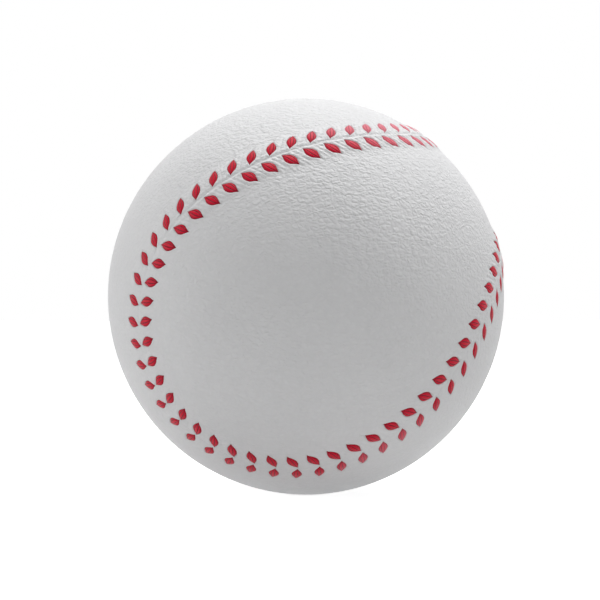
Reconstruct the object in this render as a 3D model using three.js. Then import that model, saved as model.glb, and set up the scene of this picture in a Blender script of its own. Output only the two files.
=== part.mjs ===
// A baseball, built up layer by layer from the cork at its middle to the stitched leather cover.
// Millimetres, +Z up, with the origin at the middle of the ball.

import * as THREE from 'three';
import { mergeVertices } from 'three/addons/utils/BufferGeometryUtils.js';

// The pill: a cork ball in a black rubber shell of two cups, in a red rubber shell of two more.
const CORK_DIAMETER = 20.6;
const INNER_CUP_WALL = 3.0;
const GASKET_THICKNESS = 1.6;
const OUTER_CUP_WALL = 2.75;

// The four windings, from the pill outwards.
const FIRST_WINDING_DEPTH = 13.28;
const SECOND_WINDING_DEPTH = 1.4;
const THIRD_WINDING_DEPTH = 2.0;
const FINISH_WINDING_DEPTH = 0.5;
const LEAD_HOLE_DIAMETER = 3.0;

// Free space between one layer and the next, and between the last winding and the leather.
const LAYER_GAP = 0.3;
const COVER_GAP = 0.6;

// The leather and its seam. The two panels meet edge to edge in a low raised ridge.
const LEATHER_THICKNESS = 1.27;
const SEAM_GAP = 0.3;
const RIDGE_HEIGHT = 0.3;
const RIDGE_FOOT = 0.35;
const THREAD_CHANNEL_DEPTH = 0.6;

// The stitches: slanted legs in two rows, one on each side of the seam.
const STITCHES_PER_ROW = 108;
const LEG_LENGTH = 3.17;
const LEG_LEAN = 66;
const LEG_RISE = 0.4;
const LEG_DEPTH = 0.75;
const THREAD_WIDTH = 1.15;
const UNDERRUN_THICKNESS = 0.4;
const UNDERRUN_WIDTH = 0.8;
const SLOT_CLEARANCE = 0.2;

// The seam's shape on a ball of radius 1: how far it bends, and two small corrections to its curves.
const SEAM_BEND = 0.3544;
const SEAM_FLATTEN = -0.0185;
const SEAM_SWELL = 0.0191;

// The ball as it lies, in degrees: the seam's own frame turned about X, then Y, then Z.
const LIE = { x: -131.55, y: -31.95, z: 131.66 };

// Where each row starts and how far it drifts along the seam, in stitches. Side +1 is the panel
// whose narrow waist lies at the seam frame's +Z, and side -1 is the other.
const ROWS = {
  a: { side: 1, phase: 0.203, drift: 0.425, driftAt: 44.3 },
  b: { side: -1, phase: 0.518, drift: 0.142, driftAt: 26.4 },
};

// How finely the round layers and the middles of the panels are divided.
const ROUND_STEPS = 16;
const PILL_BANDS = 6;
const WINDING_BANDS = 9;
const PANEL_MIDDLE_BANDS = 4;
const PANEL_SPINE_NODES = 23;

// How finely the seam is measured along its length, and how near two points count as one.
const SEAM_DIVISIONS = 2160;
const SAME_POINT = 0.001;

// Where the round end of a panel has its middle, in degrees from the middle of its waist.
const LOBE_CENTRE = 118;

// Radii worked out from the middle of the ball outwards.
const corkRadius = CORK_DIAMETER / 2;
const innerCup = layerOver(corkRadius, INNER_CUP_WALL);
const outerCup = layerOver(innerCup.outside, OUTER_CUP_WALL);
const firstWinding = layerOver(outerCup.outside, FIRST_WINDING_DEPTH);
const secondWinding = layerOver(firstWinding.outside, SECOND_WINDING_DEPTH);
const thirdWinding = layerOver(secondWinding.outside, THIRD_WINDING_DEPTH);
const finishWinding = layerOver(thirdWinding.outside, FINISH_WINDING_DEPTH);
const leatherInside = finishWinding.outside + COVER_GAP;
const ballRadius = leatherInside + LEATHER_THICKNESS;

function layerOver(radius, depth) {
  const inside = radius + LAYER_GAP;
  return { inside, outside: inside + depth };
}

const radians = THREE.MathUtils.degToRad;

const looks = {
  cork: new THREE.MeshStandardMaterial({ color: 0xb98d5f, roughness: 0.9, metalness: 0 }),
  blackRubber: new THREE.MeshStandardMaterial({ color: 0x232325, roughness: 0.65, metalness: 0 }),
  redRubber: new THREE.MeshStandardMaterial({ color: 0x9b2f2a, roughness: 0.6, metalness: 0 }),
  greyWool: new THREE.MeshStandardMaterial({ color: 0x8d8b87, roughness: 1, metalness: 0 }),
  whiteWool: new THREE.MeshStandardMaterial({ color: 0xe6e1d6, roughness: 1, metalness: 0 }),
  finishYarn: new THREE.MeshStandardMaterial({ color: 0xf0ede6, roughness: 0.95, metalness: 0 }),
  leather: new THREE.MeshStandardMaterial({ color: 0xe3e1df, roughness: 0.6, metalness: 0 }),
  redThread: new THREE.MeshStandardMaterial({ color: 0xbe1730, roughness: 0.6, metalness: 0 }),
};

// A named mesh from a list of points and a list of triangles, closed and with its faces outwards.
function meshOf(name, look, points, triangles) {
  const positions = points.flatMap((point) => [point.x, point.y, point.z]);
  const geometry = new THREE.BufferGeometry();
  geometry.setAttribute('position', new THREE.Float32BufferAttribute(positions, 3));
  const outwards = volumeOf(points, triangles) > 0;
  const faces = outwards ? triangles : triangles.map(([a, b, c]) => [a, c, b]);
  geometry.setIndex(faces.flat());
  geometry.computeVertexNormals();
  const mesh = new THREE.Mesh(geometry, look);
  mesh.name = name;
  return mesh;
}

function volumeOf(points, triangles) {
  const part = new THREE.Vector3();
  return triangles.reduce((sum, [a, b, c]) => {
    part.crossVectors(points[b], points[c]);
    return sum + points[a].dot(part) / 6;
  }, 0);
}

// A solid turned about the Z axis from half of its section, [radius, height] points in order.
function turned(name, look, section) {
  const profile = section.map(([radius, height]) => new THREE.Vector2(radius, height));
  const lathe = new THREE.LatheGeometry(profile, ROUND_STEPS);
  lathe.rotateX(Math.PI / 2);
  lathe.deleteAttribute('normal');
  lathe.deleteAttribute('uv');
  const merged = mergeVertices(lathe, SAME_POINT);
  const place = merged.attributes.position;
  const points = [];
  for (let i = 0; i < place.count; i += 1) points.push(new THREE.Vector3().fromBufferAttribute(place, i));
  const corners = merged.index.array;
  const triangles = [];
  for (let i = 0; i < corners.length; i += 3) {
    const [a, b, c] = corners.slice(i, i + 3);
    if (a !== b && b !== c && c !== a) triangles.push([a, b, c]);
  }
  return meshOf(name, look, points, triangles);
}

// A ball's outline from the top down, in even steps of latitude, between two heights. Where a cut
// falls within a step, its point lies on the step's straight side, so nested layers stay parallel.
function outline(radius, bands, topHeight = radius, bottomHeight = -radius) {
  const step = Math.PI / bands;
  const corner = (band) => [radius * Math.sin(band * step), radius * Math.cos(band * step)];
  const points = [];
  for (let band = 0; band < bands; band += 1) {
    const [nearRadius, nearHeight] = corner(band);
    const [farRadius, farHeight] = corner(band + 1);
    const from = Math.min(nearHeight, topHeight);
    const to = Math.max(farHeight, bottomHeight);
    if (from <= to) continue;
    const radiusAt = (height) => {
      const share = (nearHeight - height) / (nearHeight - farHeight);
      return nearRadius + share * (farRadius - nearRadius);
    };
    if (points.length === 0) points.push([radiusAt(from), from]);
    points.push([radiusAt(to), to]);
  }
  return points;
}

function corkCentre() {
  return turned('cork_centre', looks.cork, outline(corkRadius, PILL_BANDS));
}

// Half of a hollow rubber ball, open at a flat rim that lies a little above or below the middle.
function rubberCup(name, look, layer, rimHeight, upward) {
  const inner = outline(layer.inside, PILL_BANDS, layer.inside, rimHeight);
  const outer = outline(layer.outside, PILL_BANDS, layer.outside, rimHeight);
  const section = [...inner, ...outer.reverse()];
  return turned(name, look, upward ? section : section.map(([radius, height]) => [radius, -height]));
}

// The washer between the rims of the two inner cups, as wide as their wall.
function rubberGasket() {
  const half = GASKET_THICKNESS / 2;
  const bore = outline(innerCup.inside, PILL_BANDS, half, -half);
  const rim = outline(innerCup.outside, PILL_BANDS, half, -half);
  return turned('rubber_gasket', looks.redRubber, [...bore, ...rim.reverse(), bore[0]]);
}

// A wound layer: a hollow ball with one small passage at the top, where the yarn leads on outwards.
function winding(name, look, layer, insideBands = WINDING_BANDS) {
  const skin = (radius, bands) => {
    const holeHeight = radius - (LEAD_HOLE_DIAMETER / 2) * Math.tan(Math.PI / bands / 2);
    return outline(radius, bands, holeHeight);
  };
  const inner = skin(layer.inside, insideBands);
  const outer = skin(layer.outside, WINDING_BANDS);
  return turned(name, look, [...inner.reverse(), ...outer]);
}

// The seam on a ball of radius 1: one closed line with four bends that divides it in two like halves.
class SeamCurve extends THREE.Curve {
  getPoint(t, target = new THREE.Vector3()) {
    const turn = 2 * Math.PI * t;
    const round = 1 - SEAM_BEND;
    const rise = 2 * Math.sqrt(round * SEAM_BEND);
    return target.set(
      round * Math.cos(turn) + SEAM_BEND * Math.cos(3 * turn) + SEAM_FLATTEN * Math.cos(5 * turn),
      round * Math.sin(turn) - SEAM_BEND * Math.sin(3 * turn) + SEAM_FLATTEN * Math.sin(5 * turn),
      rise * Math.sin(2 * turn) + SEAM_SWELL * Math.sin(6 * turn),
    ).normalize();
  }
}

const seam = new SeamCurve();
seam.arcLengthDivisions = SEAM_DIVISIONS;
const seamLength = seam.getLength() * ballRadius;

// A point by its place along the seam (0 to 1 for the whole seam), its distance from the seam
// over the cover towards +1's panel, and its radius.
function onSeam(along, across, radius) {
  const lap = along - Math.floor(along);
  const point = seam.getPointAt(lap);
  const heading = seam.getTangentAt(lap);
  const sideways = new THREE.Vector3().crossVectors(point, heading).normalize();
  const angle = across / ballRadius;
  point.multiplyScalar(Math.cos(angle)).addScaledVector(sideways, Math.sin(angle));
  return point.normalize().multiplyScalar(radius);
}

// The middle of a stitch along the seam, from 0 to 1. The rows drift a little against each other.
function stitchAt(row, index) {
  const even = (index + row.phase) / STITCHES_PER_ROW;
  const wave = Math.cos(4 * Math.PI * even - radians(row.driftAt));
  return even + (row.drift * wave) / STITCHES_PER_ROW;
}

// Sizes across the seam, in the order in which they follow each other from the seam outwards.
const legAlong = Math.cos(radians(LEG_LEAN));
const legAcross = Math.sin(radians(LEG_LEAN));
const edge = SEAM_GAP / 2;
const ridgeFoot = edge + RIDGE_FOOT;
const slotInner = ridgeFoot + SLOT_CLEARANCE / 2;
const rowMiddle = slotInner + (LEG_LENGTH / 2) * legAcross;
const slotOuter = rowMiddle + (LEG_LENGTH / 2) * legAcross;
const slotHalfWidth = (THREAD_WIDTH / 2 + SLOT_CLEARANCE) / legAcross;
const channelEdge = slotOuter + UNDERRUN_WIDTH / 2 + 2 * SLOT_CLEARANCE;
const channelFoot = channelEdge + SLOT_CLEARANCE;
const channelRoof = leatherInside + THREAD_CHANNEL_DEPTH;

// The stitch's own plane: a point by its distance along the leg and square to it, seen from outside.
function onLeg(row, index, lengthwise, sidewise, radius) {
  const along = lengthwise * legAlong - sidewise * legAcross;
  const across = rowMiddle + lengthwise * legAcross + sidewise * legAlong;
  return onSeam(stitchAt(row, index) + along / seamLength, row.side * across, radius);
}

// One row's thread: it rises through a slot in the leather as the leg of a stitch, goes back down,
// and runs under the leather to the next slot, all round the ball and back into itself. Its top ends
// as far from where it turns back as the thread is deep, which keeps it clear of the slot's ends.
function stitchThread(name, row) {
  const dip = LEG_LENGTH / 2 - SLOT_CLEARANCE / 2;
  const crownEnd = dip - LEG_DEPTH - SLOT_CLEARANCE;
  const crownTop = ballRadius + LEG_RISE;
  const crown = [crownTop - LEG_DEPTH, crownTop];
  const underTop = leatherInside + THREAD_CHANNEL_DEPTH / 2;
  const under = [underTop - UNDERRUN_THICKNESS, underTop];
  const points = [];
  for (let index = 0; index < STITCHES_PER_ROW; index += 1) {
    points.push(...turningRing(row, index, -dip, under));
    points.push(...crownRing(row, index, -crownEnd, crown));
    points.push(...crownRing(row, index, crownEnd, crown));
    points.push(...turningRing(row, index, dip, under));
  }
  return meshOf(name, looks.redThread, points, tubeTriangles(points.length / 3));
}

// A three-cornered ring of the thread, square to the leg: two base corners and the top.
function crownRing(row, index, lengthwise, [base, top]) {
  const half = THREAD_WIDTH / 2;
  return [
    onLeg(row, index, lengthwise, half, base),
    onLeg(row, index, lengthwise, -half, base),
    onLeg(row, index, lengthwise, 0, top),
  ];
}

// A ring where the thread turns back under the leather, square to the seam.
function turningRing(row, index, lengthwise, [base, top]) {
  const along = stitchAt(row, index) + (lengthwise * legAlong) / seamLength;
  const across = rowMiddle + lengthwise * legAcross;
  const half = UNDERRUN_WIDTH / 2;
  return [
    onSeam(along, row.side * (across + half), base),
    onSeam(along, row.side * (across - half), base),
    onSeam(along, row.side * across, top),
  ];
}

// The skin of a closed loop of three-cornered rings, each joined to the next and the last to the first.
function tubeTriangles(ringCount) {
  const triangles = [];
  for (let ring = 0; ring < ringCount; ring += 1) {
    const here = ring * 3;
    const next = ((ring + 1) % ringCount) * 3;
    for (let corner = 0; corner < 3; corner += 1) {
      const other = (corner + 1) % 3;
      triangles.push([here + corner, here + other, next + other]);
      triangles.push([here + corner, next + other, next + corner]);
    }
  }
  return triangles;
}

// A list of points and triangles that a panel's skin is added to, piece by piece.
class Skin {
  constructor() {
    this.points = [];
    this.triangles = [];
  }

  add(point) {
    this.points.push(point);
    return this.points.length - 1;
  }

  // Joins four corners in order, as two triangles. With inside set, the face looks the other way.
  quad(a, b, c, d, inside = false) {
    this.triangle(a, b, c, inside);
    this.triangle(a, c, d, inside);
  }

  triangle(a, b, c, inside = false) {
    this.triangles.push(inside ? [a, c, b] : [a, b, c]);
  }

  // A band between two closed rows with as many points each.
  band(near, far, inside) {
    near.forEach((point, i) => {
      const next = (i + 1) % near.length;
      this.quad(point, near[next], far[next], far[i], inside);
    });
  }

  // A band from a closed row to one with half as many points.
  halvingBand(near, far, inside) {
    far.forEach((point, i) => {
      const nextFar = far[(i + 1) % far.length];
      const nextNear = near[(2 * i + 2) % near.length];
      this.triangle(near[2 * i], near[2 * i + 1], point, inside);
      this.triangle(near[2 * i + 1], nextFar, point, inside);
      this.triangle(near[2 * i + 1], nextNear, nextFar, inside);
    });
  }
}

// One leather panel: a figure of eight bent round the ball, with a slot for each leg of its row.
function coverPanel(name, row) {
  const skin = new Skin();
  const stations = [];
  for (let index = 0; index < STITCHES_PER_ROW; index += 1) {
    stations.push((stitchAt(row, index - 1) + stitchAt(row, index)) / 2);
  }
  const rowOf = (across, radius) => {
    return stations.map((along) => skin.add(onSeam(along, row.side * across, radius)));
  };
  const slots = (radius) => {
    return stations.map((_, index) => slotCorners(row, index, radius).map((corner) => skin.add(corner)));
  };

  const ridge = rowOf(edge, ballRadius + RIDGE_HEIGHT);
  const foot = rowOf(ridgeFoot, ballRadius);
  const outerRow = rowOf(channelEdge, ballRadius);
  const upperSlots = slots(ballRadius);
  const lowerEdge = rowOf(edge, channelRoof);
  const roofRow = rowOf(channelEdge, channelRoof);
  const lowerRow = rowOf(channelFoot, leatherInside);
  const lowerSlots = slots(channelRoof);

  skin.band(lowerEdge, ridge);
  skin.band(ridge, foot);
  slottedBand(skin, foot, outerRow, upperSlots, false);
  slottedBand(skin, lowerEdge, roofRow, lowerSlots, true);
  skin.band(roofRow, lowerRow, true);
  upperSlots.forEach((upper, index) => slotWalls(skin, upper, lowerSlots[index]));
  panelMiddle(skin, row, outerRow, ballRadius, false);
  panelMiddle(skin, row, lowerRow, leatherInside, true);
  return meshOf(name, looks.leather, skin.points, skin.triangles);
}

// The four corners of a slot. Its long sides follow the leg, and its ends lie along the seam.
function slotCorners(row, index, radius) {
  const half = (LEG_LENGTH / 2) * legAlong;
  const middle = stitchAt(row, index);
  const corner = (shift, across) => onSeam(middle + shift / seamLength, row.side * across, radius);
  return [
    corner(-half - slotHalfWidth, slotInner),
    corner(-half + slotHalfWidth, slotInner),
    corner(half + slotHalfWidth, slotOuter),
    corner(half - slotHalfWidth, slotOuter),
  ];
}

// A band with one slot in each of its cells.
function slottedBand(skin, near, far, slots, inside) {
  slots.forEach((slot, index) => {
    const next = (index + 1) % slots.length;
    const cell = [near[index], near[next], far[next], far[index]];
    cell.forEach((corner, i) => {
      const other = (i + 1) % cell.length;
      skin.quad(corner, cell[other], slot[other], slot[i], inside);
    });
  });
}

function slotWalls(skin, upper, lower) {
  upper.forEach((corner, i) => {
    const other = (i + 1) % upper.length;
    skin.quad(corner, upper[other], lower[other], lower[i]);
  });
}

// The rest of a panel's face, from a row near the seam in to the spine along the panel's middle.
function panelMiddle(skin, row, rim, radius, inside) {
  const waist = new THREE.Vector3(0, 0, row.side);
  const lengthwise = new THREE.Vector3(1, -row.side, 0).normalize();
  const lobe = radians(LOBE_CENTRE);
  const spinePoint = (angle) => {
    const point = waist.clone().multiplyScalar(Math.cos(angle));
    return point.addScaledVector(lengthwise, Math.sin(angle));
  };
  const spineAngle = (point) => {
    const angle = Math.atan2(point.dot(lengthwise), point.dot(waist));
    return THREE.MathUtils.clamp(angle, -lobe, lobe);
  };
  const rimPoints = rim.map((index) => skin.points[index]);
  const inward = (share) => rimPoints.filter((_, i) => i % 2 === 0).map((point) => {
    const target = spinePoint(spineAngle(point)).multiplyScalar(radius);
    return skin.add(point.clone().lerp(target, share).normalize().multiplyScalar(radius));
  });
  let innermost = inward(1 / PANEL_MIDDLE_BANDS);
  skin.halvingBand(rim, innermost, inside);
  for (let band = 2; band < PANEL_MIDDLE_BANDS; band += 1) {
    const further = inward(band / PANEL_MIDDLE_BANDS);
    skin.band(innermost, further, inside);
    innermost = further;
  }

  const spine = [];
  const step = (2 * lobe) / (PANEL_SPINE_NODES - 1);
  for (let node = 0; node < PANEL_SPINE_NODES; node += 1) {
    spine.push(skin.add(spinePoint(node * step - lobe).multiplyScalar(radius)));
  }
  const nodeOf = (index) => Math.round((spineAngle(skin.points[index]) + lobe) / step);
  innermost.forEach((here, i) => {
    const next = innermost[(i + 1) % innermost.length];
    let node = nodeOf(here);
    const last = nodeOf(next);
    const way = Math.sign(last - node);
    for (; node !== last; node += way) {
      skin.triangle(here, spine[node + way], spine[node], inside);
    }
    skin.triangle(here, next, spine[last], inside);
  });
}

const core = new THREE.Group();
core.add(
  corkCentre(),
  rubberCup('inner_rubber_cup_upper', looks.blackRubber, innerCup, GASKET_THICKNESS / 2 + LAYER_GAP, true),
  rubberCup('inner_rubber_cup_lower', looks.blackRubber, innerCup, GASKET_THICKNESS / 2 + LAYER_GAP, false),
  rubberGasket(),
  rubberCup('outer_rubber_cup_upper', looks.redRubber, outerCup, LAYER_GAP / 2, true),
  rubberCup('outer_rubber_cup_lower', looks.redRubber, outerCup, LAYER_GAP / 2, false),
  winding('first_winding', looks.greyWool, firstWinding, PILL_BANDS),
  winding('second_winding', looks.whiteWool, secondWinding),
  winding('third_winding', looks.greyWool, thirdWinding),
  winding('finish_winding', looks.finishYarn, finishWinding),
);

const cover = new THREE.Group();
cover.add(
  coverPanel('cover_panel_a', ROWS.a),
  coverPanel('cover_panel_b', ROWS.b),
  stitchThread('stitch_thread_a', ROWS.a),
  stitchThread('stitch_thread_b', ROWS.b),
);
cover.rotation.set(radians(LIE.x), radians(LIE.y), radians(LIE.z), 'ZYX');

const baseball = new THREE.Group();
baseball.name = 'baseball';
baseball.add(core, cover);

export default baseball;
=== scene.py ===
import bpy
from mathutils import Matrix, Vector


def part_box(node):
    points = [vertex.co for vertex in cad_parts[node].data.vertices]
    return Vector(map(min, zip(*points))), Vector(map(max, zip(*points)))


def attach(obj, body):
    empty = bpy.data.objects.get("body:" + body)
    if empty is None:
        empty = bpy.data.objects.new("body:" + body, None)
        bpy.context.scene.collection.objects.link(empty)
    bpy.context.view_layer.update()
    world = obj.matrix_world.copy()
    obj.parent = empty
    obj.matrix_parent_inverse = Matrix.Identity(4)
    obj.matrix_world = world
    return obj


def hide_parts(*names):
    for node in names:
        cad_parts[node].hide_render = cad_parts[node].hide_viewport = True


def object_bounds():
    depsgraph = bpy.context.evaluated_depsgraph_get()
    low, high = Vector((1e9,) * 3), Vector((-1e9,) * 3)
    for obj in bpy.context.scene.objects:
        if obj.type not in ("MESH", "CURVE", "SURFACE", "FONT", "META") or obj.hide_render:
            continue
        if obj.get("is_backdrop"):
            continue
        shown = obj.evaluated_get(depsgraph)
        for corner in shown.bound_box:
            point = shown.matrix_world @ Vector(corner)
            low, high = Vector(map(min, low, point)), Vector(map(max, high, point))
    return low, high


bl_info = {
    "name": "Baseball",
    "version": (1, 0, 0),
    "blender": (4, 5, 0),
    "location": "View3D > Sidebar > Baseball",
    "description": "Models a stitched leather baseball from its cork centre out to its cover",
    "category": "Object",
}

import math

import bpy
import numpy as np
from bpy.props import FloatProperty, FloatVectorProperty, IntProperty, PointerProperty
from bpy.types import Operator, Panel, PropertyGroup
from mathutils import Euler, Vector

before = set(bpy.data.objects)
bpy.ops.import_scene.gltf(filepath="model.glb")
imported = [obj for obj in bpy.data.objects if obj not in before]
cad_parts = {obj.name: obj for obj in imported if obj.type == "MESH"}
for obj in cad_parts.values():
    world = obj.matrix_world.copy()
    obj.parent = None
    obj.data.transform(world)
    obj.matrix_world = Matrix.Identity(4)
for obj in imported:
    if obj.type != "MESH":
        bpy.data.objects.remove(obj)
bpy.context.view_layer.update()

MM = 0.001
SAME_POINT = 0.002 * MM


def pole_radius(node):
    """The radius of a round layer, from the lowest point of its CAD node."""
    return -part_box(node)[0].z


def length(name, description, default):
    return FloatProperty(name=name, description=description, default=default, unit="LENGTH", precision=5)


def factor(name, description, default):
    return FloatProperty(name=name, description=description, default=default)


def whole(name, description, default):
    return IntProperty(name=name, description=description, default=default)


def degrees(name, description, default):
    """An angle, whose default is given in degrees."""
    return FloatProperty(name=name, description=description, default=math.radians(default), subtype="ANGLE")


def watts(name, description, default):
    return FloatProperty(name=name, description=description, default=default, unit="POWER")


def direction(name, description, default):
    return FloatVectorProperty(name=name, description=description, default=default, subtype="DIRECTION")


def colour(name, description, default):
    return FloatVectorProperty(
        name=name, description=description, default=default, subtype="COLOR", min=0.0, max=1.0
    )


class CoreSizes(PropertyGroup):
    cork_radius: length("Cork radius", "Radius of the cork centre", pole_radius("cork_centre"))
    inner_cup_radius: length(
        "Inner cup radius", "Outer radius of the black rubber cups", pole_radius("inner_rubber_cup_lower")
    )
    outer_cup_radius: length(
        "Outer cup radius", "Outer radius of the red rubber cups", pole_radius("outer_rubber_cup_lower")
    )
    inner_rim: length(
        "Inner cup rim",
        "Height of the black cups' rims from the middle",
        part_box("inner_rubber_cup_upper")[0].z,
    )
    outer_rim: length(
        "Outer cup rim",
        "Height of the red cups' rims from the middle",
        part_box("outer_rubber_cup_upper")[0].z,
    )
    gasket_half: length(
        "Washer half thickness", "Half of the washer's thickness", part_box("rubber_gasket")[1].z
    )
    layer_gap: length("Layer gap", "Free space between one layer and the next", 0.3 * MM)
    lead_hole_radius: length("Lead hole radius", "Where the yarn leads on to the next layer", 1.5 * MM)
    lead_hole_bevel: length("Lead hole bevel", "Rounding of the lead holes' edges", 0.15 * MM)
    rim_bevel: length("Rim bevel", "Rounding of the rubber rims", 0.25 * MM)


class CoverSizes(PropertyGroup):
    ball_radius: length("Ball radius", "Radius of the leather's outer face", 36.9 * MM)
    leather_inside: length("Leather inside", "Radius of the leather's inner face", 35.63 * MM)
    channel_roof: length("Channel roof", "Radius of the thinned leather over the thread", 36.23 * MM)
    channel_edge: length("Channel edge", "How far from the seam the thinned leather ends", 4.3 * MM)
    channel_slope: length("Channel slope", "How far the leather takes to reach its full thickness", 0.2 * MM)
    seam_gap: length("Seam gap", "Free space between the two panels' edges", 0.02 * MM)
    edge_roll: length("Edge roll", "How far each panel's very edge is rolled down", 0.12 * MM)
    edge_roll_width: length("Edge roll width", "How far in from the edge the roll reaches", 0.30 * MM)
    lip_height: length("Lip height", "How far each panel is raised beside the seam", 0.04 * MM)
    lip_middle: length("Lip middle", "How far in from the edge the raised lip is highest", 0.60 * MM)
    lip_width: length("Lip width", "Half width of the raised lip", 0.28 * MM)
    band_height: length("Band height", "How far the stitched band stands above the ball", 0.24 * MM)
    pucker_height: length("Pucker height", "Height of the puckers between the stitches", 0.11 * MM)
    puckers_per_stitch: factor("Puckers per stitch", "Puckers from one stitch to the next", 4.0)
    relief_reach: length("Relief reach", "How far from the seam the puckers fade out", 5.0 * MM)
    pull_side: direction(
        "Pulled side",
        "The side of the ball where the puckers and the grain are deepest",
        (0.35, -0.05, 0.93),
    )
    seam_bend: factor("Seam bend", "How far the seam bends", 0.3544)
    seam_flatten: factor("Seam flatten", "First correction of the seam's curves", -0.0185)
    seam_swell: factor("Seam swell", "Second correction of the seam's curves", 0.0191)
    seam_aside: length("Seam aside", "How far the seam lies to panel a's side on the whole", -0.05 * MM)
    seam_wander: length(
        "Seam wander", "How far it moves to either side of that, twice round the ball", 0.26 * MM
    )
    lie: FloatVectorProperty(
        name="Lie",
        description="How the seam is turned about X, then Y, then Z",
        default=(math.radians(-131.55), math.radians(-31.95), math.radians(131.66)),
        subtype="EULER",
    )
    lobe_centre: degrees(
        "Lobe centre", "Where a panel's round end has its middle, from the middle of its waist", 118
    )
    columns_per_stitch: whole("Columns per stitch", "Mesh columns for each stitch near the seam", 24)
    coarse_per_stitch: whole("Coarse columns per stitch", "Mesh columns for each stitch elsewhere", 5)
    rows_beside_seam: whole(
        "Rows beside the seam", "Mesh rows from the seam to where the puckers end", 28
    )
    rows_to_spine: whole("Rows to the spine", "Mesh rows from there to the middle of the panel", 13)


class StitchSizes(PropertyGroup):
    per_row: whole("Stitches per row", "Legs in each of the two rows", 108)
    leg_length: length("Leg length", "Length of the red leg that shows", 3.8 * MM)
    leg_width: length("Leg width", "Width of a leg at its middle", 1.95 * MM)
    leg_rise: length("Leg rise", "How far a leg stands above the leather", 0.12 * MM)
    leg_floor: length("Leg floor", "How deep a leg's underside lies in the leather", 0.32 * MM)
    leg_taper: factor("Leg taper", "How pointed a leg's two ends are", 1.25)
    slim_a: factor("Slim legs a", "How much slimmer row a's legs are", 0.10)
    slim_b: factor("Slim legs b", "How much slimmer row b's legs are", 0.0)
    lean_a: degrees("Lean a", "Angle from the seam to a leg of row a", 71)
    lean_b: degrees("Lean b", "Angle from the seam to a leg of row b", 64)
    lean_swing_a: degrees("Lean swing a", "How much row a's lean changes", 11)
    lean_swing_b: degrees("Lean swing b", "How much row b's lean changes", 7)
    lean_turns: whole("Lean turns", "How often the lean changes round the seam", 3)
    steepest_a: factor("Steepest a", "Where row a's legs stand most across the seam, as a share of it", 0.61)
    steepest_b: factor("Steepest b", "Where row b's legs stand most across the seam, as a share of it", 0.61)
    row_middle: length("Row middle", "How far from the seam a leg has its middle", 2.07 * MM)
    return_radius: length(
        "Return radius", "Radius at which the thread runs back under the leather", 35.73 * MM
    )
    return_width: length("Return width", "Width of the thread under the leather", 0.8 * MM)
    return_depth: length("Return depth", "Thickness of the thread under the leather", 0.4 * MM)
    return_inset: length("Return inset", "How far inside a leg's end the thread goes down", 0.1 * MM)
    hole_depth: length("Hole depth", "How deep the leather is pressed in under a leg", 0.40 * MM)
    hole_margin: length("Hole margin", "How far the pressed place reaches past a leg's ends", 0.08 * MM)
    phase_a: factor("Phase a", "Where row a starts, in stitches", 0.203)
    phase_b: factor("Phase b", "Where row b starts, in stitches", 0.518)
    drift_a: factor("Drift a", "How far row a drifts along the seam, in stitches", 0.425)
    drift_b: factor("Drift b", "How far row b drifts along the seam, in stitches", 0.142)
    drift_angle_a: degrees("Drift angle a", "Where row a drifts most", 44.3)
    drift_angle_b: degrees("Drift angle b", "Where row b drifts most", 26.4)


class Finishes(PropertyGroup):
    leather: colour("Leather", "White leather of the cover", (0.705, 0.705, 0.712))
    # Painted shade: the colour that the leather is darkened towards in the creases of its grain, where shade
    # falls.
    leather_crease_shade: colour("Leather creases", "The leather's colour deep in its grain", (0.56, 0.56, 0.57))
    thread: colour("Thread", "Red waxed thread", (0.640, 0.003, 0.028))
    # Painted shade: the red is darkened towards this between the thread's strands and at a leg's sides and
    # tips.
    thread_shade: colour("Thread shade", "The thread's colour between its strands", (0.120, 0.002, 0.012))
    # Painted highlight: the pale red that the thread is blended towards on the ball's top side, where the
    # top lamp shines on it.
    thread_highlight: colour("Worn thread", "The thread's colour where it is rubbed pale", (0.800, 0.250, 0.310))
    highlight_side: direction(
        "Worn side", "The side of the ball where the thread is rubbed pale", (0.2, 0.0, 1.0)
    )
    # The thread is also blended a little towards the same pale red on this side, towards the lower right.
    paler_side: direction(
        "Faded side", "The side of the ball where the thread is a little faded", (0.5, -0.1, -0.86)
    )
    cork: colour("Cork", "Pressed cork and rubber", (0.484, 0.267, 0.115))
    cork_fleck: colour("Cork flecks", "Dark bark flecks in the cork", (0.130, 0.058, 0.024))
    black_rubber: colour("Black rubber", "Inner rubber cups", (0.017, 0.017, 0.018))
    red_rubber: colour("Red rubber", "Outer rubber cups and the washer", (0.328, 0.028, 0.023))
    grey_wool: colour("Grey wool", "First and third windings", (0.266, 0.258, 0.242))
    white_wool: colour("White wool", "Second winding", (0.791, 0.753, 0.672))
    finish_yarn: colour("Finish yarn", "Fine cotton and polyester winding", (0.871, 0.847, 0.791))
    grain_size: length("Grain size", "Width of one pebble of the leather's grain", 0.74 * MM)
    grain_depth: length("Grain depth", "Depth of the leather's grain where it is deepest", 0.115 * MM)
    strand_depth: length("Strand depth", "Depth of the lines between the thread's strands", 0.10 * MM)
    thick_yarn: length("Thick yarn", "Width of the four-ply wool", 1.9 * MM)
    medium_yarn: length("Medium yarn", "Width of the three-ply wool", 1.4 * MM)
    fine_yarn: length("Fine yarn", "Width of the finish yarn", 0.6 * MM)


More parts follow.
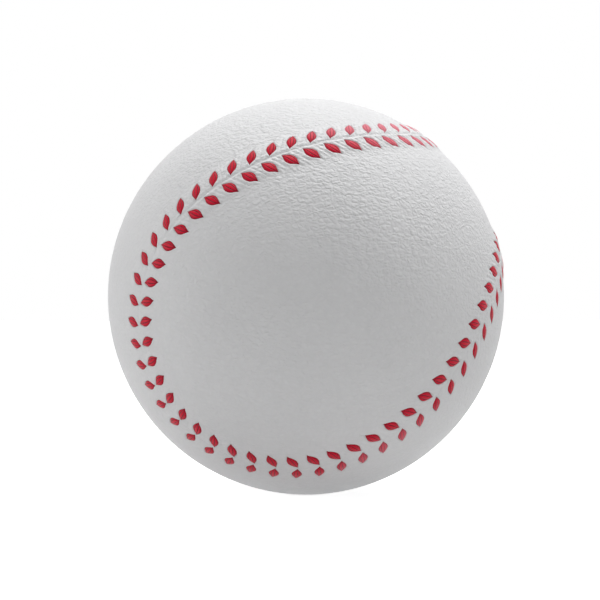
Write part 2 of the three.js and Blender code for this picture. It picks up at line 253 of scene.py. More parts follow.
class StageSizes(PropertyGroup):
    camera_distance: length("Camera distance", "From the lens to the middle of the ball", 0.42435)
    lens: FloatProperty(name="Lens", description="Focal length", default=136.17, unit="CAMERA")
    shift_x: factor("Shift sideways", "Moves the view across the image", -0.0100)
    shift_y: factor("Shift upwards", "Moves the view up the image", -0.0058)
    floor_width: length("Floor width", "Width of the pale floor", 6.0)
    floor_colour: colour("Floor colour", "Pale floor", (0.62, 0.62, 0.62))
    floor_glow: factor("Floor glow", "Added to the floor beside the ball, as the camera sees it", 0.80)
    ambient: factor("Ambient", "Soft light from all round", 0.2)
    top_power: watts("Top lamp", "Power of the lamp overhead", 3.05)
    right_power: watts("Right lamp", "Power of the high lamp on the right", 1.48)
    left_power: watts("Left lamp", "Power of the lamp on the left", 1.47)
    low_power: watts("Low lamp", "Power of the low lamp in front", 0.84)
    table_power: watts("Table light", "Power of the light that comes up off the table", 0.0040)
    table_width: length("Table light width", "Width of the lit round under the ball", 0.085)


def deselect_all():
    """Nothing is selected afterwards, so the next operator only acts on what it adds."""
    if bpy.context.object and bpy.context.object.mode != "OBJECT":
        bpy.ops.object.mode_set(mode="OBJECT")
    bpy.ops.object.select_all(action="DESELECT")


def pick(piece):
    """Makes the piece the only selected and the active one."""
    deselect_all()
    piece.select_set(True)
    bpy.context.view_layer.objects.active = piece


def edit_all(piece):
    """Goes into edit mode on this piece alone, with all of it selected."""
    pick(piece)
    bpy.ops.object.mode_set(mode="EDIT")
    bpy.ops.mesh.select_all(action="SELECT")


def name_piece(piece, name):
    piece.name = name
    piece.data.name = name
    return piece


def apply_modifier(piece, kind, **settings):
    """Adds one modifier with its settings and applies it."""
    pick(piece)
    modifier = piece.modifiers.new(kind.title(), kind)
    for field, value in settings.items():
        setattr(modifier, field, value)
    bpy.ops.object.modifier_apply(modifier=modifier.name)


def merge_doubles(piece):
    edit_all(piece)
    bpy.ops.mesh.remove_doubles(threshold=SAME_POINT)
    bpy.ops.object.mode_set(mode="OBJECT")


def close_and_smooth(piece, crease):
    """Merges doubles, turns the faces outwards, tests that the piece is closed and shades it smooth."""
    merge_doubles(piece)
    edit_all(piece)
    bpy.ops.mesh.normals_make_consistent(inside=False)
    bpy.ops.mesh.select_all(action="DESELECT")
    bpy.ops.mesh.select_mode(type="EDGE")
    bpy.ops.mesh.select_non_manifold()
    bpy.ops.object.mode_set(mode="OBJECT")
    open_edges = sum(edge.select for edge in piece.data.edges)
    if open_edges:
        raise RuntimeError(f"{piece.name} has {open_edges} open edges")
    bpy.ops.object.shade_smooth_by_angle(angle=crease)


def hand_over(piece, material, slot, *nodes):
    """Gives a finished piece its material and lets it stand for its CAD nodes."""
    piece.data.materials.clear()
    piece.data.materials.append(material)
    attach(piece, "root")
    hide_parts(*nodes)


def add_node(tree, kind, settings=None, inputs=None):
    """Adds a shader node. Settings are its fields; inputs are values, or sockets to link from."""
    node = tree.nodes.new(kind)
    for field, value in (settings or {}).items():
        setattr(node, field, value)
    for socket, value in (inputs or {}).items():
        if isinstance(value, bpy.types.NodeSocket):
            tree.links.new(value, node.inputs[socket])
        else:
            node.inputs[socket].default_value = value
    return node


def calculate(tree, operation, first, second=0.0, clamp=False):
    """The result of one Math node."""
    settings = {"operation": operation, "use_clamp": clamp}
    return add_node(tree, "ShaderNodeMath", settings, {0: first, 1: second}).outputs[0]


def plus(tree, first, second, clamp=False):
    return calculate(tree, "ADD", first, second, clamp)


def minus(tree, first, second):
    return calculate(tree, "SUBTRACT", first, second)


def times(tree, first, second):
    return calculate(tree, "MULTIPLY", first, second)


def vector_calculate(tree, operation, first, second=(0.0, 0.0, 0.0)):
    """The result of one Vector Math node that has a vector for its result."""
    return add_node(tree, "ShaderNodeVectorMath", {"operation": operation}, {0: first, 1: second}).outputs[0]


def vector_measure(tree, operation, first, second=(0.0, 0.0, 0.0)):
    """The result of one Vector Math node that has a number for its result."""
    node = add_node(tree, "ShaderNodeVectorMath", {"operation": operation}, {0: first, 1: second})
    return node.outputs["Value"]


def rescale(tree, value, low, high, new_low=0.0, new_high=1.0):
    """The value's range from low to high, smoothly turned into a new range."""
    inputs = {0: value, 1: low, 2: high, 3: new_low, 4: new_high}
    return add_node(tree, "ShaderNodeMapRange", {"interpolation_type": "SMOOTHSTEP"}, inputs).outputs[0]


def blend_values(tree, share, first, second):
    inputs = {0: share, 2: first, 3: second}
    return add_node(tree, "ShaderNodeMix", {"data_type": "FLOAT"}, inputs).outputs[0]


def blend_colours(tree, share, first, second):
    inputs = {0: share, 6: first, 7: second}
    return add_node(tree, "ShaderNodeMix", {"data_type": "RGBA"}, inputs).outputs[2]


def opaque(rgb):
    return (rgb[0], rgb[1], rgb[2], 1.0)


def darker(rgb, shares):
    """An opaque colour with each channel brought down to its share."""
    return opaque([channel * share for channel, share in zip(rgb, shares)])


def noise(tree, place, feature_size, detail=2.0, roughness=0.5):
    """A noise texture whose features are about as wide as feature_size."""
    inputs = {"Vector": place, "Scale": 1.0 / feature_size, "Detail": detail, "Roughness": roughness}
    return add_node(tree, "ShaderNodeTexNoise", {}, inputs)


def object_place(tree):
    return add_node(tree, "ShaderNodeTexCoord").outputs["Object"]


def share_towards(tree, side):
    """1 on the side of the ball that faces this way, 0 round its middle and -1 on the far side."""
    outward = vector_calculate(tree, "NORMALIZE", object_place(tree))
    return vector_measure(tree, "DOT_PRODUCT", outward, Vector(side).normalized())


def new_group(name, inputs, outputs):
    """An empty shader node group with named inputs and outputs."""
    group = bpy.data.node_groups.new(name, "ShaderNodeTree")
    for label, kind, default in inputs:
        socket = group.interface.new_socket(name=label, in_out="INPUT", socket_type=kind)
        if default is not None:
            socket.default_value = default
    for label in outputs:
        group.interface.new_socket(name=label, in_out="OUTPUT", socket_type="NodeSocketFloat")
    return group


def use_group(tree, group, inputs):
    return add_node(tree, "ShaderNodeGroup", {"node_tree": group}, inputs)


def new_material(name):
    """An empty material with its Principled shader and its output, and the shader."""
    material = bpy.data.materials.new(name)
    material.use_nodes = True
    tree = material.node_tree
    tree.nodes.clear()
    shader = add_node(tree, "ShaderNodeBsdfPrincipled")
    add_node(tree, "ShaderNodeOutputMaterial", {}, {"Surface": shader.outputs["BSDF"]})
    return material, tree, shader


def feed(tree, shader, socket, value):
    tree.links.new(value, shader.inputs[socket])


def add_bump(tree, shader, height, depth):
    inputs = {"Height": height, "Distance": depth, "Strength": 1.0}
    feed(tree, shader, "Normal", add_node(tree, "ShaderNodeBump", {}, inputs).outputs["Normal"])


# The poles that the bundles of yarn are wound round, from the lowest bundle to the one on top.
YARN_POLES = ((0.31, 0.22, 0.93), (-0.83, 0.45, 0.33), (0.52, -0.79, 0.32), (0.12, 0.62, -0.77))


def yarn_group():
    """Turns of yarn wound over a ball in bundles that cross each other."""
    name = "Wound yarn"
    if name in bpy.data.node_groups:
        return bpy.data.node_groups[name]
    inputs = [("Place", "NodeSocketVector", None), ("Turns per radian", "NodeSocketFloat", 20.0)]
    group = new_group(name, inputs, ["Height", "Shade"])
    start = add_node(group, "NodeGroupInput")
    outward = vector_calculate(group, "NORMALIZE", start.outputs["Place"])
    waver_width = 0.45
    waver_reach = 0.10
    bundle_edge = 0.25
    bundle_rise = 0.5
    waver = noise(group, outward, waver_width).outputs["Fac"]
    for order, pole in enumerate(YARN_POLES):
        latitude = calculate(group, "ARCSINE", vector_measure(group, "DOT_PRODUCT", outward, pole))
        latitude = plus(group, latitude, times(group, waver, waver_reach))
        turns = times(group, latitude, start.outputs["Turns per radian"])
        strand = calculate(group, "ABSOLUTE", calculate(group, "SINE", times(group, turns, math.pi)))
        turn = calculate(group, "FLOOR", turns)
        tone = add_node(group, "ShaderNodeTexWhiteNoise", {"noise_dimensions": "1D"}, {"W": turn})
        if order == 0:
            height = strand
            shade = tone.outputs["Value"]
            continue
        bundles_per_radian = 7.0 + 2.0 * order
        bundles = calculate(group, "SINE", times(group, latitude, bundles_per_radian))
        bundle = calculate(group, "GREATER_THAN", bundles, bundle_edge)
        height = blend_values(group, bundle, height, plus(group, strand, bundle_rise * order))
        shade = blend_values(group, bundle, shade, tone.outputs["Value"])
    add_node(group, "NodeGroupOutput", {}, {"Height": height, "Shade": shade})
    return group


def moulding_group():
    """The fine pitting and faint cloudiness of moulded rubber and pressed cork."""
    name = "Moulded skin"
    if name in bpy.data.node_groups:
        return bpy.data.node_groups[name]
    group = new_group(name, [("Place", "NodeSocketVector", None)], ["Height", "Shade"])
    place = add_node(group, "NodeGroupInput").outputs["Place"]
    pit_size = 0.5 * MM
    cloud_size = 9.0 * MM
    pits = noise(group, place, pit_size, 3.0).outputs["Fac"]
    cloud = noise(group, place, cloud_size, 3.0).outputs["Fac"]
    add_node(group, "NodeGroupOutput", {}, {"Height": rescale(group, pits, 0.3, 0.6), "Shade": cloud})
    return group


def leather_grain(tree, place, grain_size):
    """Pebbles and wrinkles, drawn out along X and warped so that no two are alike: 0 is a crease."""
    warp_size = 1.0 * MM
    warp_reach = 0.7 * MM
    drawn_out = (0.65, 1.0, 1.0)
    warp = noise(tree, place, warp_size).outputs["Color"]
    warp = vector_calculate(tree, "SUBTRACT", warp, (0.5, 0.5, 0.5))
    warp = vector_calculate(tree, "MULTIPLY", warp, (warp_reach, warp_reach, warp_reach))
    warped = vector_calculate(tree, "ADD", place, warp)
    warped = vector_calculate(tree, "MULTIPLY", warped, drawn_out)
    cells = add_node(
        tree,
        "ShaderNodeTexVoronoi",
        {"feature": "DISTANCE_TO_EDGE"},
        {"Vector": warped, "Scale": 1.0 / grain_size, "Randomness": 0.9},
    )
    pebble = rescale(tree, cells.outputs["Distance"], 0.0, 0.34)
    wrinkle = rescale(tree, noise(tree, warped, 1.1 * grain_size, 1.0).outputs["Fac"], 0.34, 0.66)
    return plus(tree, times(tree, pebble, 0.6), times(tree, wrinkle, 0.6))


def leather_material(finish, pull_side):
    """White leather: pebbled grain, deep on the pulled side of the ball and fainter on the other, with
    painted shade in the creases of its grain.
    """
    material, tree, shader = new_material("cover_leather")
    place = object_place(tree)
    grain = leather_grain(tree, place, finish.grain_size)
    pore_size = 0.32 * MM
    pores = noise(tree, place, pore_size, 2.0, 0.6).outputs["Fac"]

    patch_size = 14.0 * MM
    patch_contrast = 0.9
    slack_depth = 0.6
    patches = times(tree, minus(tree, noise(tree, place, patch_size).outputs["Fac"], 0.5), patch_contrast)
    pulled = plus(tree, share_towards(tree, pull_side), patches)
    depth = rescale(tree, pulled, 0.1, 0.75, slack_depth, 1.0)

    cloud_size = 13.0 * MM
    cloud_darkness = 0.12
    crease_shade_darkness = 0.25
    # Painted shade: the creases of the grain are painted darker, more where the grain is deeper; the cloud
    # is tone that differs at random.
    crease = times(tree, minus(tree, 1.0, grain), depth)
    cloud = rescale(tree, noise(tree, place, cloud_size, 3.0).outputs["Fac"], 0.3, 0.7, 0.0, cloud_darkness)
    crease_shade_and_cloud = plus(tree, times(tree, crease, crease_shade_darkness), cloud, clamp=True)
    leather = blend_colours(tree, crease_shade_and_cloud, opaque(finish.leather), opaque(finish.leather_crease_shade))
    feed(tree, shader, "Base Color", leather)
    feed(tree, shader, "Roughness", rescale(tree, pores, 0.3, 0.7, 0.50, 0.64))
    shader.inputs["Specular IOR Level"].default_value = 0.35

    pore_depth = 0.25
    height = plus(tree, times(tree, grain, depth), times(tree, pores, pore_depth))
    add_bump(tree, shader, height, finish.grain_depth)
    return material


# A leg's rings: each one's share of the way from the leg's middle to its tip, and its height as a share of
# the leg's rise. The tip itself lies under the leather's face.
LEG_TOPS = ((1.0, -0.5), (0.84, 0.3), (0.65, 0.65), (0.45, 0.85), (0.22, 0.96), (0.0, 1.0))

# The points of a ring, and how many of them lie over its top, where the strands show.
RING_POINTS = 7
TOP_POINTS = 5


def towards_leg_edge(tree, run, around):
    """0 along the middle of a leg's top, and 1 at its sides and at its tips, where the thread's shade is
    painted.
    """
    tip = len(LEG_TOPS) - 1
    middle = tip + 1
    rings = 2 * middle + 1
    lengthwise = calculate(tree, "ABSOLUTE", minus(tree, times(tree, run, rings / tip), middle / tip))
    half_top = (TOP_POINTS - 1) / 2
    sidewise = calculate(tree, "ABSOLUTE", minus(tree, times(tree, around, RING_POINTS / half_top), 1.0))
    near_tip = rescale(tree, lengthwise, 0.42, 0.95)
    near_side = rescale(tree, sidewise, 0.55, 1.0)
    return calculate(tree, "MAXIMUM", near_tip, near_side)


def thread_material(finish):
    """Waxed thread laid up from strands, whose lines follow the thread's own map, with painted shade between
    the strands and at a leg's sides and tips, a painted highlight on the ball's top side, and paler towards
    the lower right.
    """
    material, tree, shader = new_material("red_thread")
    chart = add_node(tree, "ShaderNodeUVMap", {"uv_map": "thread_run"}).outputs["UV"]
    parts = add_node(tree, "ShaderNodeSeparateXYZ", {}, {0: chart})
    run = calculate(tree, "FRACT", parts.outputs["X"])
    around = parts.outputs["Y"]

    twist_per_stitch = 0.69 * math.pi
    turn = plus(tree, times(tree, around, RING_POINTS * math.pi), times(tree, run, twist_per_stitch))
    strand = rescale(tree, calculate(tree, "ABSOLUTE", calculate(tree, "SINE", turn)), 0.0, 0.6)
    fibre_size = 0.22 * MM
    fibre = noise(tree, object_place(tree), fibre_size, 3.0, 0.6).outputs["Fac"]

    # Painted shade: the red is darkened in the grooves between the strands and towards a leg's sides and
    # tips; the fibre darkening is tone that differs at random.
    groove_shade_darkness = 0.9
    edge_shade_darkness = 0.4
    fibre_darkness = 0.15
    groove_shade = times(tree, minus(tree, 1.0, strand), groove_shade_darkness)
    shade = plus(tree, groove_shade, times(tree, towards_leg_edge(tree, run, around), edge_shade_darkness))
    shade = plus(tree, shade, rescale(tree, fibre, 0.35, 0.7, 0.0, fibre_darkness), clamp=True)
    red = blend_colours(tree, shade, opaque(finish.thread), opaque(finish.thread_shade))

    # Painted highlight: the thread is blended towards pale red on the top side of the ball.
    most_highlight = 0.85
    palest = 0.3
    highlight = rescale(tree, share_towards(tree, finish.highlight_side), 0.70, 0.92, 0.0, most_highlight)
    # The thread is also paler towards the lower right of the ball.
    paler = rescale(tree, share_towards(tree, finish.paler_side), 0.80, 0.87, 0.0, palest)
    red = blend_colours(tree, plus(tree, highlight, paler, clamp=True), red, opaque(finish.thread_highlight))
    feed(tree, shader, "Base Color", red)
    feed(tree, shader, "Roughness", rescale(tree, fibre, 0.3, 0.7, 0.38, 0.55))
    shader.inputs["Specular IOR Level"].default_value = 0.13
    shader.inputs["Sheen Weight"].default_value = 0.05
    shader.inputs["Sheen Roughness"].default_value = 0.4
    fibre_depth = 0.3
    add_bump(tree, shader, plus(tree, strand, times(tree, fibre, fibre_depth)), finish.strand_depth)
    return material


def cork_material(finish):
    """Pressed cork: packed granules of several browns with dark flecks between them."""
    material, tree, shader = new_material("cork")
    place = object_place(tree)
    granule_size = 1.6 * MM
    fleck_size = 0.7 * MM
    grains = add_node(tree, "ShaderNodeTexVoronoi", {}, {"Vector": place, "Scale": 1.0 / granule_size})
    tone = add_node(tree, "ShaderNodeSeparateColor", {}, {0: grains.outputs["Color"]}).outputs[0]
    flecks = rescale(tree, noise(tree, place, fleck_size, 3.0).outputs["Fac"], 0.58, 0.68)
    shade = plus(tree, times(tree, tone, 0.35), times(tree, flecks, 0.6), clamp=True)
    brown = blend_colours(tree, shade, opaque(finish.cork), opaque(finish.cork_fleck))
    skin = use_group(tree, moulding_group(), {"Place": place})
    feed(tree, shader, "Base Color", brown)
    feed(tree, shader, "Roughness", rescale(tree, skin.outputs["Shade"], 0.3, 0.7, 0.8, 0.95))
    pit_depth = 0.10 * MM
    add_bump(tree, shader, minus(tree, skin.outputs["Height"], times(tree, flecks, 0.8)), pit_depth)
    return material


def rubber_material(name, base):
    """Moulded rubber with a fine, slightly cloudy skin."""
    material, tree, shader = new_material(name)
    skin = use_group(tree, moulding_group(), {"Place": object_place(tree)})
    share = rescale(tree, skin.outputs["Shade"], 0.3, 0.7)
    cloudy = darker(base, (0.7, 0.7, 0.7))
    feed(tree, shader, "Base Color", blend_colours(tree, share, opaque(base), cloudy))
    feed(tree, shader, "Roughness", rescale(tree, skin.outputs["Shade"], 0.3, 0.7, 0.5, 0.68))
    pit_depth = 0.02 * MM
    add_bump(tree, shader, skin.outputs["Height"], pit_depth)
    return material


def yarn_material(name, base, width, radius):
    """A layer of wound yarn, as wide as the yarn on a ball of this radius."""
    material, tree, shader = new_material(name)
    place = object_place(tree)
    wound = use_group(tree, yarn_group(), {"Place": place, "Turns per radian": radius / width})
    fuzz_size = 0.35 * MM
    fuzz = noise(tree, place, fuzz_size, 4.0, 0.65).outputs["Fac"]
    deep = minus(tree, 1.0, rescale(tree, wound.outputs["Height"], 0.0, 0.7))
    shade = plus(tree, times(tree, deep, 0.6), times(tree, fuzz, 0.2))
    shade = plus(tree, shade, times(tree, wound.outputs["Shade"], 0.2), clamp=True)
    shadow = darker(base, (0.45, 0.43, 0.40))
    feed(tree, shader, "Base Color", blend_colours(tree, shade, opaque(base), shadow))
    feed(tree, shader, "Roughness", rescale(tree, fuzz, 0.3, 0.7, 0.85, 0.98))
    shader.inputs["Specular IOR Level"].default_value = 0.2
    turn_depth = 0.28 * width
    add_bump(tree, shader, plus(tree, wound.outputs["Height"], times(tree, fuzz, 0.5)), turn_depth)
    return material


def add_ball(name, radius, segments, rings):
    deselect_all()
    bpy.ops.mesh.primitive_uv_sphere_add(
        segments=segments, ring_count=rings, radius=radius, location=(0, 0, 0)
    )
    return name_piece(bpy.context.object, name)


def cut_level(piece, height, keep_above):
    """Cuts a piece across at a height and keeps one side of it, open."""
    edit_all(piece)
    bpy.ops.mesh.bisect(
        plane_co=(0, 0, height), plane_no=(0, 0, 1), clear_inner=keep_above, clear_outer=not keep_above
    )
    bpy.ops.object.mode_set(mode="OBJECT")


def give_wall(piece, wall, bevel):
    """Thickens an open skin inwards into a wall with rounded rims."""
    apply_modifier(piece, "SOLIDIFY", thickness=wall, offset=-1.0)
    apply_modifier(
        piece, "BEVEL", width=bevel, segments=2, limit_method="ANGLE", angle_limit=math.radians(40)
    )
    close_and_smooth(piece, crease=math.radians(35))


def inner_wall(sizes):
    return sizes.inner_cup_radius - sizes.cork_radius - sizes.layer_gap


def outer_wall(sizes):
    return sizes.outer_cup_radius - sizes.inner_cup_radius - sizes.layer_gap


def add_cork(sizes):
    cork = add_ball("cork_centre_fine", sizes.cork_radius, segments=64, rings=40)
    lumps = bpy.data.textures.new("cork_lumps", "CLOUDS")
    lumps.noise_scale = 3.0 * MM
    apply_modifier(cork, "DISPLACE", texture=lumps, strength=0.12 * MM, mid_level=1.0)
    close_and_smooth(cork, crease=math.radians(60))
    return cork


def add_cup(name, radius, wall, rim_height, bevel, above):
    """Half of a hollow ball with a rounded rim, the upper half or the lower one."""
    cup = add_ball(name, radius, segments=96, rings=48)
    cut_level(cup, rim_height if above else -rim_height, keep_above=above)
    give_wall(cup, wall, bevel)
    return cup


def add_washer(sizes, wall):
    """A round slice of a hollow ball between the two black cups."""
    washer = add_ball("rubber_gasket_fine", sizes.inner_cup_radius, segments=96, rings=48)
    cut_level(washer, -sizes.gasket_half, keep_above=True)
    cut_level(washer, sizes.gasket_half, keep_above=False)
    give_wall(washer, wall, 0.5 * sizes.rim_bevel)
    return washer


def add_winding(name, radius, depth, hole_radius, bevel):
    """A wound layer with the small passage at its top where its yarn leads on."""
    layer = add_ball(name, radius, segments=128, rings=72)
    cut_level(layer, math.sqrt(radius ** 2 - hole_radius ** 2), keep_above=False)
    give_wall(layer, depth, bevel)
    return layer


class Seam:
    """The closed line along which the two panels meet, on a ball of radius 1, measured by its length."""

    def __init__(self, cover, divisions=17280):
        self.cover = cover
        self.shares = np.linspace(0.0, 1.0, divisions + 1)
        steps = np.linalg.norm(np.diff(self.trace(self.shares), axis=0), axis=1)
        run = np.concatenate([[0.0], np.cumsum(steps)])
        self.run = run / run[-1]
        self.length = run[-1] * cover.ball_radius
        self.turned = np.array(Euler(cover.lie, "XYZ").to_matrix())

    def trace(self, share):
        """The seam's line itself, by its turn about the axis through the two panels' waists."""
        turn = 2.0 * math.pi * share
        bend = self.cover.seam_bend
        flatten = self.cover.seam_flatten
        rise = 2.0 * math.sqrt((1.0 - bend) * bend)
        x = (1.0 - bend) * np.cos(turn) + bend * np.cos(3.0 * turn) + flatten * np.cos(5.0 * turn)
        y = (1.0 - bend) * np.sin(turn) - bend * np.sin(3.0 * turn) + flatten * np.sin(5.0 * turn)
        z = rise * np.sin(2.0 * turn) + self.cover.seam_swell * np.sin(6.0 * turn)
        points = np.stack([x, y, z], axis=-1)
        return points / np.linalg.norm(points, axis=-1, keepdims=True)

    def place(self, along, across, radius):
        """Points by their share along the seam, their distance across from it and their radius."""
        share = np.interp(np.mod(along, 1.0), self.run, self.shares)
        point = self.trace(share)
        small = 1e-5
        heading = self.trace(share + small) - self.trace(share - small)
        sideways = np.cross(point, heading)
        sideways /= np.linalg.norm(sideways, axis=-1, keepdims=True)
        aside = self.cover.seam_aside + self.cover.seam_wander * np.cos(4.0 * math.pi * np.asarray(along))
        angle = (np.asarray(across) + aside)[..., None] / self.cover.ball_radius
        point = point * np.cos(angle) + sideways * np.sin(angle)
        return point * np.asarray(radius)[..., None]

    def lay(self, points):
        """Points turned from the seam's own frame to how the ball lies."""
        return points @ self.turned.T


class StitchRow:
    """One row of stitches: where each one is along the seam, and how its leg leans and how wide it is."""

    def __init__(self, seam, stitches, side):
        self.seam = seam
        self.stitches = stitches
        self.side = side
        letter = "a" if side > 0 else "b"
        self.phase = getattr(stitches, f"phase_{letter}")
        self.drift = getattr(stitches, f"drift_{letter}")
        self.drift_angle = getattr(stitches, f"drift_angle_{letter}")
        self.mean_lean = getattr(stitches, f"lean_{letter}")
        self.lean_swing = getattr(stitches, f"lean_swing_{letter}")
        self.steepest = getattr(stitches, f"steepest_{letter}")
        self.leg_width = stitches.leg_width * (1.0 - getattr(stitches, f"slim_{letter}"))

    def along(self, count):
        """The share along the seam of a stitch's middle, also between stitches."""
        even = (count + self.phase) / self.stitches.per_row
        wave = np.cos(4.0 * math.pi * even - self.drift_angle)
        return even + self.drift * wave / self.stitches.per_row

    def lean(self, count):
        """The angle from the seam to a stitch's leg."""
        turn = 2.0 * math.pi * self.stitches.lean_turns * (count / self.stitches.per_row - self.steepest)
        return self.mean_lean + self.lean_swing * np.cos(turn)

    def slide(self, count, across):
        """How far along the seam a line that follows the legs has moved at this distance across."""
        return (across - self.stitches.row_middle) / np.tan(self.lean(count))

    def nearest_leg(self, count, across):
        """How far a place lies along the nearest stitch's leg, from its middle, and how far aside of it."""
        nearest = np.round(count)
        lean = self.lean(nearest)
        sidewise = (self.along(count) - self.along(nearest)) * self.seam.length
        sidewise = (sidewise + self.slide(count, across) - self.slide(nearest, across)) * np.sin(lean)
        lengthwise = (across - self.stitches.row_middle) / np.sin(lean) + sidewise / np.tan(lean)
        return lengthwise, sidewise


def smooth_step(value):
    held = np.clip(value, 0.0, 1.0)
    return held * held * (3.0 - 2.0 * held)


def bump_curve(distance, width):
    return np.exp(-((distance / width) ** 2))


def half_width_share(stitches, share):
    """How wide a leg is at a share of the way from its middle to its end, as a share of its middle."""
    return np.clip(1.0 - share ** 2, 0.0, 1.0) ** stitches.leg_taper


# The strength of the seam's relief on the slack side of the ball, the share towards the pulled side at which
# it starts to grow, and the further share over which it grows to 1.
SLACK_STRENGTH = 0.3
PULL_FROM = -0.15
PULL_SPAN = 0.7

# How far from the seam the stitched band keeps its height, and how far it then takes to come down.
BAND_TOP = 2.0 * MM
BAND_SLOPE = 3.0 * MM

# Where the puckers start, how far they take to rise, where they start to fade, and how far before the end
# of the relief they are gone.
PUCKER_START = 0.3 * MM
PUCKER_RISE = 0.5 * MM
PUCKER_FADE = 3.0 * MM
PUCKER_MARGIN = 0.2 * MM

# The mean of the squared wave, taken off so that the puckers rise and sink alike, and how much their place,
# as an angle of the wave, and their height change from stitch to stitch.
PUCKER_MEAN = 0.375
PUCKER_SHIFT = 0.6
PUCKER_UNEVENNESS = 0.35

# How wide a hole's sloping side is, and what share of that lies outside the hole's outline.
HOLE_SLOPE = 0.30 * MM
HOLE_OUTSIDE = 0.15

# The swelling round each hole: its height, how far outside the outline it is highest, and its width.
SWELLING_HEIGHT = 0.05 * MM
SWELLING_PLACE = 0.30 * MM
SWELLING_WIDTH = 0.25 * MM

# The dent that the thread pulls past the outer end of each hole: how deep, how far past that end, how long
# and how wide it is, and how much its depth changes from stitch to stitch.
DENT_DEPTH = 0.10 * MM
DENT_PLACE = 0.1 * MM
DENT_LENGTH = 0.55 * MM
DENT_WIDTH = 0.45 * MM
DENT_UNEVENNESS = 0.4

# The seeds for the unevenness of each row.
SEED_A = 5
SEED_B = 11


def pull_strength(row, cover, count, across):
    """How strong the seam's relief is: 1 where the leather is pulled most, and less on the slack side."""
    radius = np.ones(count.shape)
    facing = row.seam.lay(row.seam.place(row.along(count), np.full(count.shape, row.side * across), radius))
    towards = np.array(Vector(cover.pull_side).normalized())
    pulled = smooth_step((facing @ towards - PULL_FROM) / PULL_SPAN)
    return SLACK_STRENGTH + (1.0 - SLACK_STRENGTH) * pulled


def band_rise(cover, strength, across):
    """How far the stitched band stands above the ball at this distance across."""
    return cover.band_height * strength * (1.0 - smooth_step((across - BAND_TOP) / BAND_SLOPE))


def panel_edge(cover, strength, across):
    """The panel's edge: rolled down at the seam, with a raised lip behind."""
    from_edge = across - cover.seam_gap / 2.0
    lip = cover.lip_height * strength * bump_curve(from_edge - cover.lip_middle, cover.lip_width)
    return lip - cover.edge_roll * strength * bump_curve(from_edge, cover.edge_roll_width)


def puckers(cover, strength, count, across, shift, swell):
    """Narrow creases and broad ridges across the seam, which start behind the lip and fade out."""
    rising = smooth_step((across - PUCKER_START) / PUCKER_RISE)
    fading = 1.0 - smooth_step((across - PUCKER_FADE) / (cover.relief_reach - PUCKER_FADE - PUCKER_MARGIN))
    waves = np.cos(2.0 * math.pi * cover.puckers_per_stitch * count + PUCKER_SHIFT * shift)
    waves = PUCKER_MEAN - (0.5 + 0.5 * waves) ** 2
    return cover.pucker_height * strength * rising * fading * waves * (1.0 + PUCKER_UNEVENNESS * swell)


def leather_relief(row, cover, count, across):
    """The height of the leather's face near the seam: band, edge, puckers, and the holes for the legs."""
    stitches = row.stitches
    chance = np.random.default_rng(SEED_A if row.side > 0 else SEED_B)
    unevenness = chance.uniform(-1.0, 1.0, (3, stitches.per_row))
    index = np.mod(np.round(count), stitches.per_row).astype(int)
    shift, swell, tug = unevenness[:, index]
    strength = pull_strength(row, cover, count, across)
    face = panel_edge(cover, strength, across) + puckers(cover, strength, count, across, shift, swell)

    lengthwise, sidewise = row.nearest_leg(count, across)
    half_length = 0.5 * stitches.leg_length + stitches.hole_margin
    half_width = 0.5 * row.leg_width * half_width_share(stitches, lengthwise / half_length)
    inside = half_width - np.abs(sidewise)
    beside_leg = np.where(half_width > 0.0, 1.0, 0.0)
    hole = smooth_step(inside / HOLE_SLOPE + HOLE_OUTSIDE) * beside_leg
    swelling = SWELLING_HEIGHT * bump_curve(inside + SWELLING_PLACE, SWELLING_WIDTH) * beside_leg
    past_end = lengthwise - half_length - DENT_PLACE
    dent = DENT_DEPTH * bump_curve(past_end, DENT_LENGTH) * bump_curve(sidewise, DENT_WIDTH)
    dent = dent * (1.0 + DENT_UNEVENNESS * tug) * strength
    raised = band_rise(cover, strength, across)
    return (face + swelling - dent + raised) * (1.0 - hole) + (raised - stitches.hole_depth) * hole


def add_strip(name, points):
    """A grid whose rows and columns are laid on the given points, closed along its length."""
    rows, columns = points.shape[:2]
    deselect_all()
    bpy.ops.mesh.primitive_grid_add(x_subdivisions=columns, y_subdivisions=rows - 1, size=1.0)
    strip = name_piece(bpy.context.object, name)
    flat = np.empty(len(strip.data.vertices) * 3)
    strip.data.vertices.foreach_get("co", flat)
    flat = flat.reshape(-1, 3)
    column = np.round((flat[:, 0] + 0.5) * columns).astype(int) % columns
    row = np.round((flat[:, 1] + 0.5) * (rows - 1)).astype(int)
    strip.data.vertices.foreach_set("co", points[row, column].ravel())
    for label, chosen in (("first_row", row == 0), ("last_row", row == rows - 1)):
        group = strip.vertex_groups.new(name=f"{name}_{label}")
        group.add([int(i) for i in np.flatnonzero(chosen)], 1.0, "REPLACE")
    strip.data.update()
    return strip


def bridge(piece, *groups):
    """Bridges two open rows of one piece, by their vertex groups."""
    edit_all(piece)
    bpy.ops.mesh.select_all(action="DESELECT")
    for name in groups:
        piece.vertex_groups.active = piece.vertex_groups[name]
        bpy.ops.object.vertex_group_select()
    bpy.ops.mesh.bridge_edge_loops()
    bpy.ops.object.mode_set(mode="OBJECT")


# The steps along its spine to whose ends a panel's innermost row is gathered.
SPINE_STEPS = 60

# The power that crowds the mesh rows beside the seam, the width of the strip that joins the fine mesh to the
# coarse one, and the mesh rows of the thinned leather over the thread.
ROW_CROWDING = 1.25
JOINING_WIDTH = 0.35 * MM
ROOF_ROWS = 5


